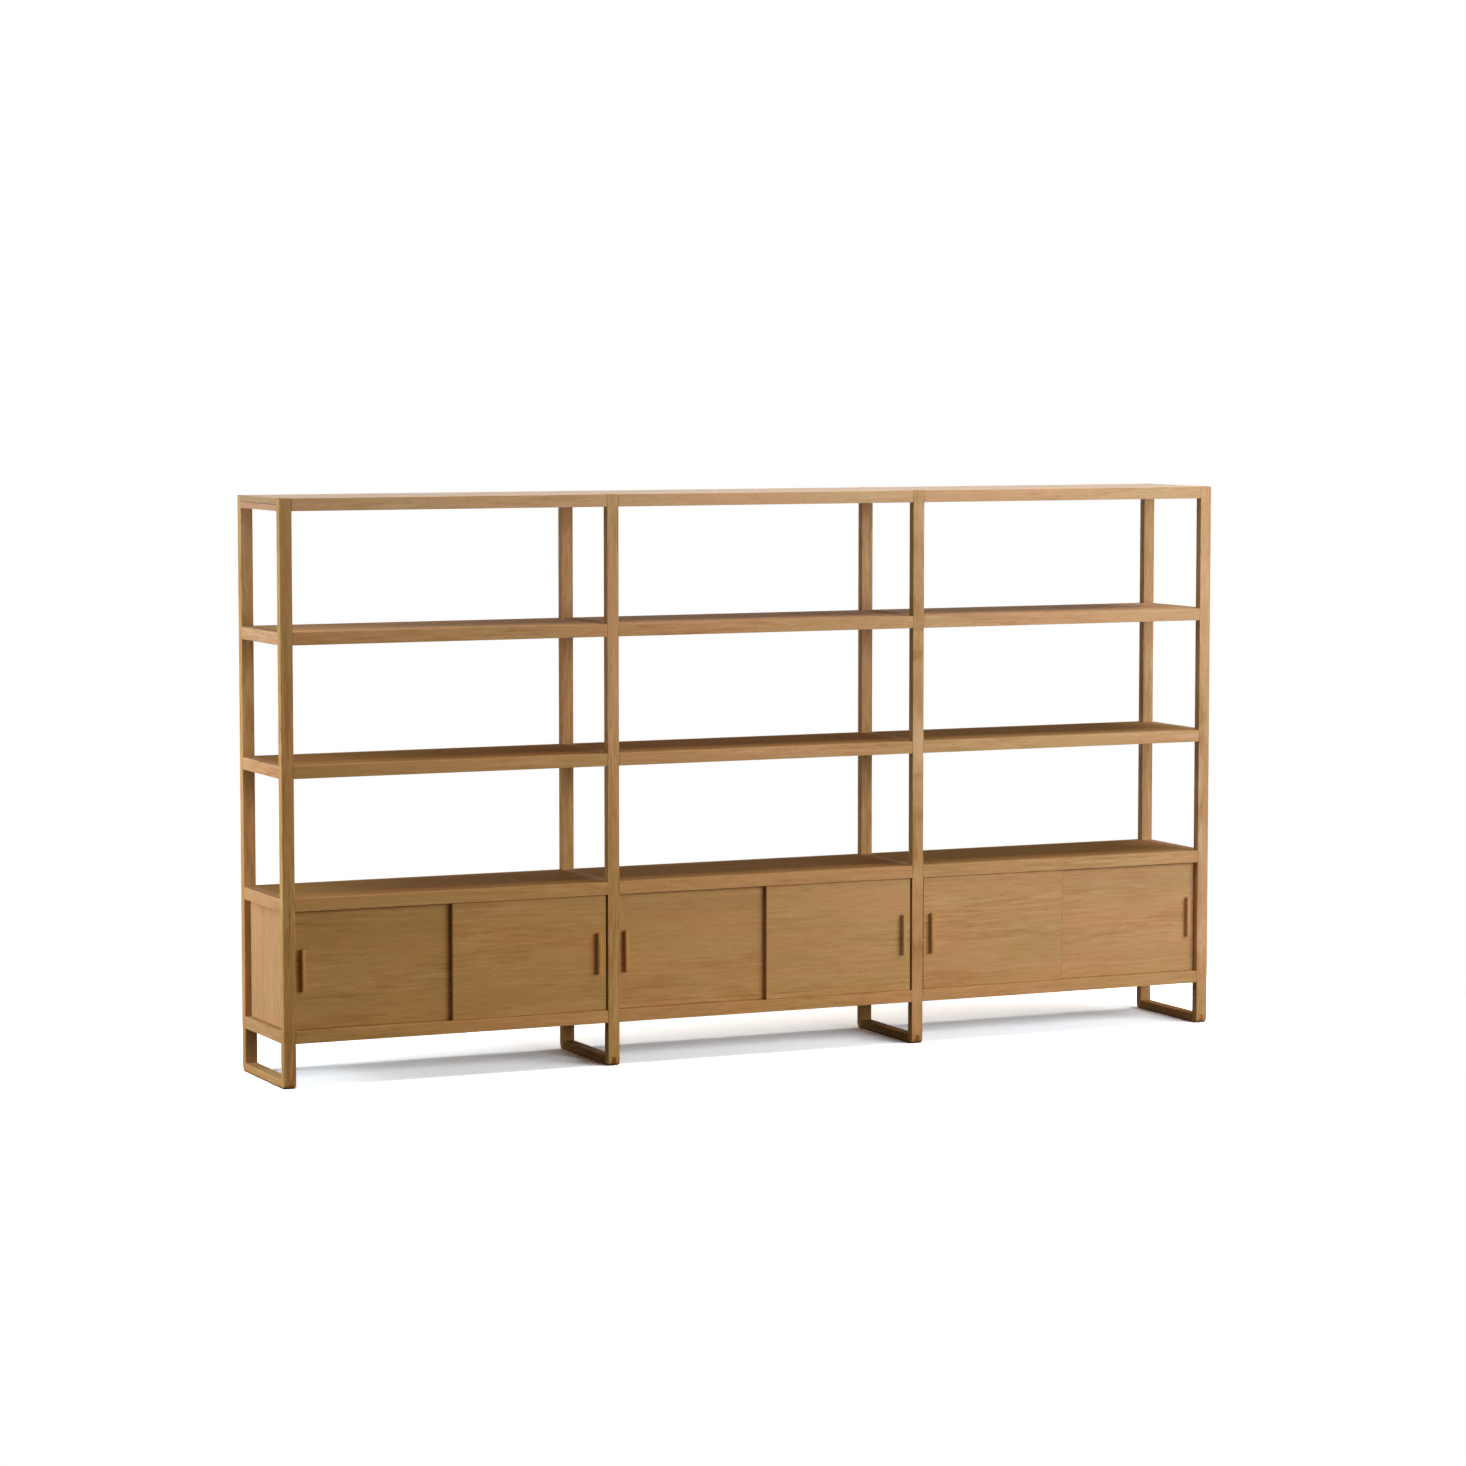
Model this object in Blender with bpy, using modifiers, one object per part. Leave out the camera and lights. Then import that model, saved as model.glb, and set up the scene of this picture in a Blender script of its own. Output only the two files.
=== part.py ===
"""An oak shelving unit: ladder frames on sled feet carry bays of shelves, and the lowest level of each
bay is a cabinet behind two sliding doors.

Metres, +Z up. The fronts face -Y. The origin is on the floor, in the middle of the outer box.
Frames and bays are numbered from the left.
"""

import math

import bmesh
import bpy
from mathutils import Matrix, Vector

# Overall layout
BAYS = 3
BAY_WIDTH = 1.034  # clear width between two frames
DEPTH = 0.4
HEIGHT = 1.8
BASE_HEIGHT = 0.177  # floor to the top of the lowest level
LEVELS = ("cabinet_floor", "cabinet_top", "lower_shelf", "upper_shelf", "unit_top")
FLOOR_LEVEL, CABINET_LEVEL, TOP_LEVEL = 0, 1, len(LEVELS) - 1
LEVEL_PITCH = (HEIGHT - BASE_HEIGHT) / TOP_LEVEL  # top of one level to the top of the next

# Ladder frames
POST_WIDTH = 0.039  # along X
POST_DEPTH = 0.029  # along Y
RAIL_HEIGHT = 0.039
FOOT_RAIL_HEIGHT = 0.028
FOOT_CORNER_RADIUS = 0.018
FOOT_CORNER_SEGMENTS = 8
EDGE_EASE = 0.001  # every edge that a hand meets is broken by this much
EASE_SEGMENTS = 1

# Boards: each has a panel with a rail under its front edge and another under its back edge
PANEL_THICKNESS = 0.019

# Joinery
FIT_GAP = 0.0003  # between pieces that touch, and around a tenon in its mortise
OVERRUN = 0.004  # how far a cut runs past a face, and a joined piece into its carrier
BRIDLE_TENON_SHARE = 0.37  # of the post's width: the foot rail's tenon, which shows on the front
SIDE_TENON_WIDTH_SHARE = 0.3  # of the post's width
SIDE_TENON_LENGTH_SHARE = 0.5  # of the post's depth
BOARD_TENON_WIDTH_SHARE = 0.4  # of the post's depth
BOARD_TENON_LENGTH_SHARE = 0.25  # of the post's width
SIDE_TENON_HEIGHT_SHARE = 0.5  # of the height of the side rail that carries the tenon
TENON_WALL = 0.0015  # wood between a board's tenon and the grooves above and below it

# Cabinet sides and backs
SIDE_PANEL_THICKNESS = 0.016
SIDE_PANEL_SETBACK = 0.002  # behind the inner face of an end frame
BACK_THICKNESS = 0.01
BACK_RECESS = 0.009  # behind the posts' back faces
BACK_GROOVE_DEPTH = 0.005

# Sliding doors
DOOR_THICKNESS = 0.015
FRONT_DOOR_SETBACK = 0.006  # behind the posts' front faces
DOOR_SPACING = 0.002  # between the front door and the one behind it
DOOR_CENTRE_PASS = 0.004  # how far a front door reaches past the middle of its bay
FRONT_DOOR_END_GAP = 0.004
BACK_DOOR_END_GAP = 0.001
DOOR_TOP_GAP = 0.0035  # room to lift the door out of its lower groove
DOOR_BOTTOM_GAP = 0.0015
TONGUE_THICKNESS = 0.008
TOP_TONGUE_HEIGHT = 0.006  # how far it reaches into its groove
TONGUE_SIDE_GAP = 0.0006
TOP_GROOVE_DEPTH = TOP_TONGUE_HEIGHT + DOOR_TOP_GAP + TONGUE_SIDE_GAP
BOTTOM_GROOVE_DEPTH = 0.003
TRACK_WALL = 0.006  # wood behind the back groove

# Handles
HANDLE_LENGTH = 0.131
HANDLE_WIDTH = 0.0115
HANDLE_PROJECTION = 0.018
HANDLE_INSET = 0.0225  # from the door's end
HANDLE_ROUNDING = 0.003
HANDLE_ROUND_SEGMENTS = 3
PEG_RADIUS = 0.003
PEG_LENGTH = 0.009
PEG_SPACING = 0.096
PEG_SIDES = 12

# Derived sizes
FRAMES = BAYS + 1
BAY_PITCH = BAY_WIDTH + POST_WIDTH
TOTAL_WIDTH = BAYS * BAY_PITCH + POST_WIDTH
HANDLE_PROUD = max(HANDLE_PROJECTION - FRONT_DOOR_SETBACK, 0)
FRONT_Y = (HANDLE_PROUD - DEPTH) / 2
BACK_DOOR_SETBACK = FRONT_DOOR_SETBACK + DOOR_THICKNESS + DOOR_SPACING
DOOR_WIDTH = BAY_WIDTH / 2 + DOOR_CENTRE_PASS - FRONT_DOOR_END_GAP
TRACK_DEPTH = BACK_DOOR_SETBACK + (DOOR_THICKNESS + TONGUE_THICKNESS) / 2 + TONGUE_SIDE_GAP + TRACK_WALL
DOORWAY_HEIGHT = LEVEL_PITCH - RAIL_HEIGHT

ARC_PROFILE = 0.5  # the bevel profile that gives a quarter circle
SHARP_ANGLE = math.radians(40)
SAME_PLACE = 1e-6 * HEIGHT

for old in list(bpy.data.objects):
    bpy.data.objects.remove(old)
parts = bpy.data.collections.new("shelving_unit")
cutters = bpy.data.collections.new("joinery_cutters")
bpy.context.scene.collection.children.link(parts)
bpy.context.scene.collection.children.link(cutters)


def oak(name, colour, roughness):
    """A plain oak colour."""
    material = bpy.data.materials.new(name)
    material.use_nodes = True
    shader = material.node_tree.nodes["Principled BSDF"]
    shader.inputs["Base Color"].default_value = (*colour, 1)
    shader.inputs["Roughness"].default_value = roughness
    shader.inputs["Metallic"].default_value = 0
    return material


POST_OAK = oak("oak_post", (0.44, 0.27, 0.13), 0.5)
RAIL_OAK = oak("oak_rail", (0.46, 0.29, 0.14), 0.5)
BOARD_OAK = oak("oak_board", (0.42, 0.26, 0.12), 0.5)
PANEL_OAK = oak("oak_panel", (0.5, 0.33, 0.18), 0.55)
DOOR_OAK = oak("oak_door", (0.4, 0.23, 0.1), 0.5)
HANDLE_OAK = oak("oak_handle", (0.36, 0.2, 0.08), 0.45)


def level_top(level):
    """The height of a level's upper face."""
    return BASE_HEIGHT + level * LEVEL_PITCH


def rail_span(level):
    """The heights between which a level's rails lie."""
    return level_top(level) - RAIL_HEIGHT, level_top(level)


def depth_span(side, near, far):
    """Two distances behind the outer face of the front or back posts, as a span along Y."""
    return (near, far) if side == "front" else (DEPTH - far, DEPTH - near)


def centred(middle, size):
    return middle - size / 2, middle + size / 2


def inset(span, by):
    """A span made shorter at both ends, or longer where the distance is negative."""
    return span[0] + by, span[1] - by


def grown(box, by):
    return tuple(inset(span, -by) for span in box)


def moved_x(box, distance):
    (low, high), *others = box
    return ((low + distance, high + distance), *others)


def box_mesh(name, boxes):
    """A mesh of boxes, each given as its spans along X, Y and Z."""
    bm = bmesh.new()
    for box in boxes:
        middle = [(low + high) / 2 for low, high in box]
        size = [high - low for low, high in box]
        bmesh.ops.create_cube(bm, size=1, matrix=Matrix.LocRotScale(middle, None, size))
    mesh = bpy.data.meshes.new(name)
    bm.to_mesh(mesh)
    bm.free()
    return mesh


def round_edges(mesh, chosen, radius, segments):
    """Rounds the edges that the test chooses."""
    bm = bmesh.new()
    bm.from_mesh(mesh)
    edges = [edge for edge in bm.edges if chosen(*(vert.co for vert in edge.verts))]
    bmesh.ops.bevel(
        bm, geom=edges, offset=radius, segments=segments, profile=ARC_PROFILE, affect="EDGES"
    )
    bm.to_mesh(mesh)
    bm.free()


def empty(name, parent, location):
    """A point that carries an assembly."""
    holder = bpy.data.objects.new(name, None)
    holder.parent = parent
    holder.location = location
    parts.objects.link(holder)
    return holder


def piece(name, mesh, parent, origin, material):
    """A piece whose mesh is drawn in its parent's axes, with its own origin at the point given."""
    mesh.transform(Matrix.Translation(-Vector(origin)))
    mesh.materials.append(material)
    made = bpy.data.objects.new(name, mesh)
    made.parent = parent
    made.location = origin
    parts.objects.link(made)
    return made


def ease(made):
    """Breaks every sharp edge that the piece has so far."""
    bevel = made.modifiers.new("eased_edges", "BEVEL")
    bevel.width = EDGE_EASE
    bevel.segments = EASE_SEGMENTS
    bevel.limit_method = "ANGLE"
    bevel.angle_limit = SHARP_ANGLE


def combine(made, operation, mesh):
    """Joins the mesh to the piece, or cuts it out. The mesh is drawn in the axes of the piece's parent."""
    tool = bpy.data.objects.new(mesh.name, mesh)
    tool.parent = made.parent
    tool.hide_render = True
    tool.display_type = "WIRE"
    cutters.objects.link(tool)
    boolean = made.modifiers.new(mesh.name, "BOOLEAN")
    boolean.operation = operation
    boolean.solver = "EXACT"
    boolean.object = tool


def join_boxes(made, what, boxes):
    combine(made, "UNION", box_mesh(f"{made.name}_{what}", boxes))


def cut_boxes(made, what, boxes):
    combine(made, "DIFFERENCE", box_mesh(f"{made.name}_{what}", boxes))


def shade(made):
    """Smooth across round stretches and crisp at edges."""
    made.data.shade_smooth()
    made.data.set_sharp_from_angle(angle=SHARP_ANGLE)


# Joints. Each tenon is one box, in the axes of its frame or bay. It is joined to the piece that
# carries it, and the same box grown by the fit gap is its mortise.


def bridle_tenon():
    """The foot rail's tenon: it runs the whole depth, through both posts."""
    return (
        centred(POST_WIDTH / 2, POST_WIDTH * BRIDLE_TENON_SHARE),
        inset((0, DEPTH), -OVERRUN),
        (-OVERRUN, FOOT_RAIL_HEIGHT),
    )


def side_rail_span(level):
    """The heights of a side rail: the highest one is lower, because the top board lies on it."""
    low, high = rail_span(level)
    return (low, high - PANEL_THICKNESS - FIT_GAP) if level == TOP_LEVEL else (low, high)


def side_tenon(side, level):
    """A side rail's tenon in a post, in the frame's axes."""
    low, high = side_rail_span(level)
    length = POST_DEPTH * SIDE_TENON_LENGTH_SHARE
    return (
        centred(POST_WIDTH / 2, POST_WIDTH * SIDE_TENON_WIDTH_SHARE),
        depth_span(side, POST_DEPTH - length, POST_DEPTH + OVERRUN),
        centred((low + high) / 2, (high - low) * SIDE_TENON_HEIGHT_SHARE),
    )


def board_tenon(end, side, level):
    """A board's tenon in a post, in the bay's axes."""
    length = POST_WIDTH * BOARD_TENON_LENGTH_SHARE
    reach = (-length, OVERRUN) if end == "left" else (BAY_WIDTH - OVERRUN, BAY_WIDTH + length)
    near, far = centred(POST_DEPTH / 2, POST_DEPTH * BOARD_TENON_WIDTH_SHARE)
    low, high = rail_span(level)
    heights = low + TOP_GROOVE_DEPTH + TENON_WALL, high - BACK_GROOVE_DEPTH - TENON_WALL
    return reach, depth_span(side, near, far), heights


def post_mortises(side, frame):
    """Every mortise in one post, in the frame's axes."""
    found = [side_tenon(side, level) for level in range(len(LEVELS))]
    for level in range(len(LEVELS)):
        if frame < BAYS:
            found.append(moved_x(board_tenon("left", side, level), POST_WIDTH))
        if frame > 0:
            found.append(moved_x(board_tenon("right", side, level), -BAY_WIDTH))
    return [grown(tenon, FIT_GAP) for tenon in found]


# Ladder frames


def make_post(frame, holder, side):
    """A post from floor to top. Its outer bottom corner is rounded and slotted for the foot rail."""
    name = f"frame_{frame + 1}_{side}_post"
    spans = (0, POST_WIDTH), depth_span(side, 0, POST_DEPTH), (0, HEIGHT)
    outer = 0 if side == "front" else DEPTH
    mesh = box_mesh(name, [spans])
    round_edges(
        mesh,
        lambda a, b: all(abs(v.z) + abs(v.y - outer) < SAME_PLACE for v in (a, b)),
        FOOT_CORNER_RADIUS,
        FOOT_CORNER_SEGMENTS,
    )
    made = piece(name, mesh, holder, (POST_WIDTH / 2, sum(spans[1]) / 2, 0), POST_OAK)
    ease(made)
    cut_boxes(made, "mortises", [*post_mortises(side, frame), grown(bridle_tenon(), FIT_GAP)])
    shade(made)


def make_foot_rail(frame, holder):
    """The sled foot: it runs from front to back, and its tenons show on the posts' outer faces."""
    name = f"frame_{frame + 1}_foot_rail"
    mesh = box_mesh(name, [((0, POST_WIDTH), (0, DEPTH), (0, FOOT_RAIL_HEIGHT))])
    round_edges(
        mesh,
        lambda a, b: all(abs(v.z) < SAME_PLACE for v in (a, b)) and abs(a.y - b.y) < SAME_PLACE,
        FOOT_CORNER_RADIUS,
        FOOT_CORNER_SEGMENTS,
    )
    made = piece(name, mesh, holder, (POST_WIDTH / 2, DEPTH / 2, 0), RAIL_OAK)
    ease(made)
    tenon_left, tenon_right = bridle_tenon()[0]
    cheeks = [
        (across, depth_span(side, -OVERRUN, POST_DEPTH + FIT_GAP), (-OVERRUN, FOOT_RAIL_HEIGHT + OVERRUN))
        for across in ((-OVERRUN, tenon_left), (tenon_right, POST_WIDTH + OVERRUN))
        for side in ("front", "back")
    ]
    cut_boxes(made, "cheeks", cheeks)
    shade(made)


def side_rail_box(level):
    """A side rail between its two posts, in the frame's axes."""
    return (0, POST_WIDTH), inset((POST_DEPTH, DEPTH - POST_DEPTH), FIT_GAP), side_rail_span(level)


def make_side_rail(frame, holder, level):
    """An open level's rail across the frame, flush with the posts' side faces."""
    name = f"frame_{frame + 1}_{LEVELS[level]}_side_rail"
    box = side_rail_box(level)
    made = piece(name, box_mesh(name, [box]), holder, (POST_WIDTH / 2, DEPTH / 2, box[2][0]), RAIL_OAK)
    ease(made)
    join_boxes(made, "tenons", [side_tenon(side, level) for side in ("front", "back")])


def side_panel_span(frame):
    """Where a cabinet's side panel stands across its frame: near the inside at an end, else centred."""
    if frame == 0:
        return POST_WIDTH - SIDE_PANEL_SETBACK - SIDE_PANEL_THICKNESS, POST_WIDTH - SIDE_PANEL_SETBACK
    if frame == BAYS:
        return SIDE_PANEL_SETBACK, SIDE_PANEL_SETBACK + SIDE_PANEL_THICKNESS
    return centred(POST_WIDTH / 2, SIDE_PANEL_THICKNESS)


def make_cabinet_side(frame, holder):
    """Two side rails and the panel glued between them."""
    name = f"frame_{frame + 1}_cabinet_side"
    levels = FLOOR_LEVEL, CABINET_LEVEL
    rails = [side_rail_box(level) for level in levels]
    (bottom, floor), (ceiling, _) = [heights for _, _, heights in rails]
    panel = side_panel_span(frame), rails[0][1], inset((floor, ceiling), -OVERRUN)
    made = piece(name, box_mesh(name, rails), holder, (POST_WIDTH / 2, DEPTH / 2, bottom), PANEL_OAK)
    ease(made)
    join_boxes(made, "panel", [panel])
    join_boxes(made, "tenons", [side_tenon(side, level) for side in ("front", "back") for level in levels])


def make_frame(frame):
    holder = empty(f"frame_{frame + 1}", None, (frame * BAY_PITCH - TOTAL_WIDTH / 2, FRONT_Y, 0))
    for side in ("front", "back"):
        make_post(frame, holder, side)
    make_foot_rail(frame, holder)
    make_cabinet_side(frame, holder)
    for level in range(CABINET_LEVEL + 1, len(LEVELS)):
        make_side_rail(frame, holder, level)


# Boards


def door_setback(track):
    return FRONT_DOOR_SETBACK if track == "front" else BACK_DOOR_SETBACK


def track_span(track, width):
    """A groove or tongue of this width on the middle line of a track, as a span behind the front face."""
    return centred(door_setback(track) + DOOR_THICKNESS / 2, width)


def back_span():
    """The back panel's place along Y, in the bay's axes."""
    return depth_span("back", BACK_RECESS, BACK_RECESS + BACK_THICKNESS)


def groove_heights(level, depth):
    """A groove this deep under the cabinet's top, or in its floor."""
    low, high = rail_span(level)
    return (low - OVERRUN, low + depth) if level == CABINET_LEVEL else (high - depth, high + OVERRUN)


def groove_boxes(level):
    """The grooves for the doors and the back in one of the cabinet's two boards."""
    along = inset((0, BAY_WIDTH), -OVERRUN)
    door_depth = TOP_GROOVE_DEPTH if level == CABINET_LEVEL else BOTTOM_GROOVE_DEPTH
    width = TONGUE_THICKNESS + 2 * TONGUE_SIDE_GAP
    door_heights, back_heights = groove_heights(level, door_depth), groove_heights(level, BACK_GROOVE_DEPTH)
    doors = [(along, track_span(track, width), door_heights) for track in ("front", "back")]
    return [*doors, (along, inset(back_span(), -FIT_GAP), back_heights)]


def ear_boxes(bay):
    """The top board's ends, which lie on the side rails. They reach an end frame's outer face, or meet the
    next board over the middle of an inner frame."""
    outward = {"left": bay == 0, "right": bay == BAYS - 1}
    reach = {end: POST_WIDTH if outward[end] else (POST_WIDTH - FIT_GAP) / 2 for end in outward}
    across = inset((POST_DEPTH, DEPTH - POST_DEPTH), FIT_GAP)
    heights = HEIGHT - PANEL_THICKNESS, HEIGHT
    return [
        ((-reach["left"], OVERRUN), across, heights),
        ((BAY_WIDTH - OVERRUN, BAY_WIDTH + reach["right"]), across, heights),
    ]


def make_board(bay, holder, level):
    """A board between two frames: a panel with front and back rails under it, tenoned into the posts."""
    name = f"bay_{bay + 1}_{LEVELS[level]}"
    low, high = rail_span(level)
    blank = inset((0, BAY_WIDTH), FIT_GAP), (0, DEPTH), (low, high)
    made = piece(name, box_mesh(name, [blank]), holder, (BAY_WIDTH / 2, DEPTH / 2, low), BOARD_OAK)
    if level == TOP_LEVEL:
        join_boxes(made, "ends", ear_boxes(bay))
    ease(made)
    front_rail = TRACK_DEPTH if level <= CABINET_LEVEL else POST_DEPTH
    along, across = inset((0, BAY_WIDTH), -OVERRUN), (front_rail, DEPTH - POST_DEPTH)
    cut_boxes(made, "hollow", [(along, across, (low - OVERRUN, high - PANEL_THICKNESS))])
    tenons = [board_tenon(end, side, level) for end in ("left", "right") for side in ("front", "back")]
    join_boxes(made, "tenons", tenons)
    if level <= CABINET_LEVEL:
        cut_boxes(made, "grooves", groove_boxes(level))


def make_back(bay, holder):
    """The cabinet's back, held in grooves in its floor and its top."""
    name = f"bay_{bay + 1}_cabinet_back"
    floor, ceiling = level_top(FLOOR_LEVEL), rail_span(CABINET_LEVEL)[0]
    tall = inset((floor - BACK_GROOVE_DEPTH, ceiling + BACK_GROOVE_DEPTH), FIT_GAP)
    box = inset((0, BAY_WIDTH), FIT_GAP), back_span(), tall
    piece(name, box_mesh(name, [box]), holder, (BAY_WIDTH / 2, sum(box[1]) / 2, tall[0]), PANEL_OAK)


# Doors and handles. Each door and its handle hang on one empty, on the line that the door slides along.
# Its axes start at the middle of the door, on the front face, level with the cabinet's floor.


def front_door_end(bay):
    """The end of the bay at which the front door stands: the last bay is the other way round."""
    return "left" if bay == BAYS - 1 else "right"


def peg_mesh(name, end, extra):
    """A handle's two round pegs along Y, from just inside the bar to their depth in the door. Their holes
    have the same form and some extra room."""
    radius, tip = PEG_RADIUS + extra, PEG_LENGTH + extra
    bm = bmesh.new()
    for height in centred(DOORWAY_HEIGHT / 2, PEG_SPACING):
        middle = Vector((handle_middle(end), (tip - OVERRUN) / 2, height))
        bmesh.ops.create_cone(
            bm,
            cap_ends=True,
            segments=PEG_SIDES,
            radius1=radius,
            radius2=radius,
            depth=tip + OVERRUN,
            matrix=Matrix.Translation(middle) @ Matrix.Rotation(math.radians(90), 4, "X"),
        )
    mesh = bpy.data.meshes.new(name)
    bm.to_mesh(mesh)
    bm.free()
    return mesh


def handle_middle(end):
    """Across the door: a handle stands near the end of the door that is at its post."""
    outward = DOOR_WIDTH / 2 - HANDLE_INSET - HANDLE_WIDTH / 2
    return outward if end == "right" else -outward


def make_handle(name, holder, end):
    """A plain upright bar with rounded front edges and ends, on two pegs."""
    bar = (
        centred(handle_middle(end), HANDLE_WIDTH),
        (-HANDLE_PROJECTION, -FIT_GAP),
        centred(DOORWAY_HEIGHT / 2, HANDLE_LENGTH),
    )
    mesh = box_mesh(name, [bar])
    round_edges(
        mesh,
        lambda a, b: min(a.y, b.y) < -HANDLE_PROJECTION / 2,
        HANDLE_ROUNDING,
        HANDLE_ROUND_SEGMENTS,
    )
    made = piece(name, mesh, holder, (handle_middle(end), 0, DOORWAY_HEIGHT / 2), HANDLE_OAK)
    combine(made, "UNION", peg_mesh(f"{name}_pegs", end, 0))
    shade(made)


def make_door(name, holder, end):
    """A flat door with a thin tongue along its top and bottom edges, which runs in the boards' grooves."""
    across = centred(0, DOOR_WIDTH)
    leaf = across, (0, DOOR_THICKNESS), (DOOR_BOTTOM_GAP, DOORWAY_HEIGHT - DOOR_TOP_GAP)
    made = piece(name, box_mesh(name, [leaf]), holder, (0, 0, 0), DOOR_OAK)
    ease(made)
    tongue = (
        inset(across, EDGE_EASE),
        centred(DOOR_THICKNESS / 2, TONGUE_THICKNESS),
        (FIT_GAP - BOTTOM_GROOVE_DEPTH, DOORWAY_HEIGHT + TOP_TONGUE_HEIGHT),
    )
    join_boxes(made, "tongue", [tongue])
    combine(made, "DIFFERENCE", peg_mesh(f"{name}_peg_holes", end, FIT_GAP))


def make_sliding_door(bay, bay_holder, end):
    """One door and its handle, at rest against the post at its own end of the bay."""
    track = "front" if end == front_door_end(bay) else "back"
    gap = FRONT_DOOR_END_GAP if track == "front" else BACK_DOOR_END_GAP
    from_end = gap + DOOR_WIDTH / 2
    middle = from_end if end == "left" else BAY_WIDTH - from_end
    name = f"bay_{bay + 1}_{end}"
    holder = empty(f"{name}_slide", bay_holder, (middle, door_setback(track), level_top(FLOOR_LEVEL)))
    make_door(f"{name}_door", holder, end)
    make_handle(f"{name}_handle", holder, end)


def make_bay(bay):
    left = bay * BAY_PITCH + POST_WIDTH - TOTAL_WIDTH / 2
    holder = empty(f"bay_{bay + 1}", None, (left, FRONT_Y, 0))
    for level in range(len(LEVELS)):
        make_board(bay, holder, level)
    make_back(bay, holder)
    for end in ("left", "right"):
        make_sliding_door(bay, holder, end)


for number in range(FRAMES):
    make_frame(number)
for number in range(BAYS):
    make_bay(number)
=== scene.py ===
"""The looks of the oak shelving unit: its wood, the floor, the lamps and the camera.

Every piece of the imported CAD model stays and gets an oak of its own. The wood is a solid pattern, with
growth rings round a pith that lies outside the piece, and streaks, pores and ray flecks along them, so
that the faces, edges and end grain of a piece belong together.

Lengths are in metres. X runs along the unit, Y to its back and Z up.
"""

import math
import random
from collections import namedtuple

import bpy
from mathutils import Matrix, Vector


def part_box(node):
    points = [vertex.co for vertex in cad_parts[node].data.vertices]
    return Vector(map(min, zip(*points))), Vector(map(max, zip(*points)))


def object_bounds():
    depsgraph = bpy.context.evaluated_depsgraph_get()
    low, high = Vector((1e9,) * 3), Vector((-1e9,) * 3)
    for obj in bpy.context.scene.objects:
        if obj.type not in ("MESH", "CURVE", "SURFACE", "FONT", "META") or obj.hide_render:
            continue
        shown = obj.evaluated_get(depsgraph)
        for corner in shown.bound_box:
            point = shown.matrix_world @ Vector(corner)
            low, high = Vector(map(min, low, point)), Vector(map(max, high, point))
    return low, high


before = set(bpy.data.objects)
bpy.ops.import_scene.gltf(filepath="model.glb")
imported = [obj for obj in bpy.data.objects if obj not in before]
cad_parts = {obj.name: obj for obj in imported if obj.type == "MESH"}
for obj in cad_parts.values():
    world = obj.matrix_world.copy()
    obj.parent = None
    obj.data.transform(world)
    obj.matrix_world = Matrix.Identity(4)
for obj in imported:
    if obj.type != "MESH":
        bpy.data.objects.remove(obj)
cad_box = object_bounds()

AXES = {"X": 0, "Y": 1, "Z": 2}
FAR_AWAY = 20.0  # the most that wood is shifted along its grain, so that no two pieces have the same pattern

WHITE = (1.0, 1.0, 1.0)

# Oak, as linear colours
DARK_OAK = (0.366, 0.183, 0.061)
PLAIN_OAK = (0.490, 0.270, 0.106)
PALE_OAK = (0.588, 0.354, 0.166)

# What the oak's colour is multiplied by: painted shade, deeper and warmer low and left on the unit, and
# painted light, paler and bluer high and right, where the light falls strongest.
PINK_CAST = (1.03, 0.975, 0.97)
GREEN_CAST = (0.97, 1.01, 0.96)
SHADED_CAST = (0.94, 0.88, 0.76)
LIT_CAST = (1.04, 1.13, 1.45)
SHADED_HEIGHT, LIT_HEIGHT = -0.4, 2.2
LIGHT_SLANT = 0.5  # the height that a metre to the right counts for
END_CAST = (0.74, 0.62, 0.48)  # on end grain
WIDE_END, NARROW_END = 0.15, 1.0  # how much of it a wide and a narrow piece shows
# painted shade: the feet are darker up to this height, where their rounded undersides turn down into shade
SOLE_SHADE = (0.50, 0.40, 0.30)
SOLE_SHADE_HEIGHT = 0.011
FLECK_GLOW = 0.10
# partly wear, partly a painted highlight: the edges are paler where the arrises catch the light
WEAR_AND_HIGHLIGHT_GLOW = 0.09
PORE_SHADE = 0.74
KNOT_SHADE = 0.45
# dark lines: joints, and along the doors' upright edges painted shade
LINE_SHADE = 0.35

Marks = namedtuple("Marks", "fibre pores flecks knot wear seam")

# Joints between strips of wood and between pieces, and painted shade along the doors' upright edges, drawn as
# lines
GLUE_LINE = 0.0005
OPEN_JOINT = 0.0016  # over the unit's side rails and over the feet's tenons
DOOR_EDGE_SHADE_INSET = 0.0012  # painted shade: how far inside a door's upright edges a dark line lies, where the gap between the doors is shaded
DOOR_EDGE_SHADE_WIDTH = 0.0007
Line = namedtuple("Line", "axis place width facing")  # facing: the axis that the line's face looks along

# Surface
ROUGHNESS = 0.8
FIBRE_ROUGHNESS = 0.12
PORE_ROUGHNESS, FLECK_ROUGHNESS, WEAR_ROUGHNESS = 0.15, -0.08, -0.06
GLOSS = 0.03
GLOSS_TINT = (1.0, 0.7, 0.4, 1.0)  # oiled pores colour what little the matt wood reflects
DUST_ROUGHNESS = 0.3
BUMP_STRENGTH, BUMP_DISTANCE = 0.5, 0.00015
PORE_DEPTH, KNOT_DEPTH, LINE_DEPTH = -1.0, -1.0, -3.0  # against the height of the fibres
# gloss: the specular level; tint: that reflection's colour; dust: how much pale sheen lies on the wood
Finish = namedtuple("Finish", "gloss roughness tint dust", defaults=(GLOSS, ROUGHNESS, GLOSS_TINT, 0.0))

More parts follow.
